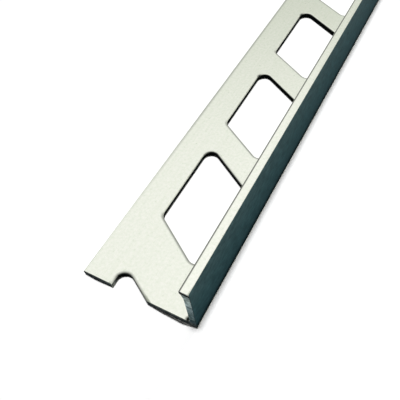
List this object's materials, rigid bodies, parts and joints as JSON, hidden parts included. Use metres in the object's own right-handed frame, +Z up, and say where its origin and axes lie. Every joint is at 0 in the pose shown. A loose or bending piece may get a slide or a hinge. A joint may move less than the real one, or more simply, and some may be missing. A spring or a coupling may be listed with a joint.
{
  "type": "tile edge trim",
  "caption": "Extruded aluminium tile edge trim: a flat anchoring leg with slanted punched holes, an upright wall and a narrow lip that caps the tile's edge.",
  "frame": {"origin": "on the floor under the middle of the trim: halfway along it and across it, level with the leg's underside", "axes": "+X across the leg towards the wall, +Y along the length away from the end with the cut hole, +Z up"},
  "size_m": [0.024, 1, 0.0125],
  "materials": {
    "aluminium": "natural satin, with punched holes and sawn ends"
  },
  "bodies": {
    "root": {"edge_trim": "aluminium"}
  },
  "joints": []
}
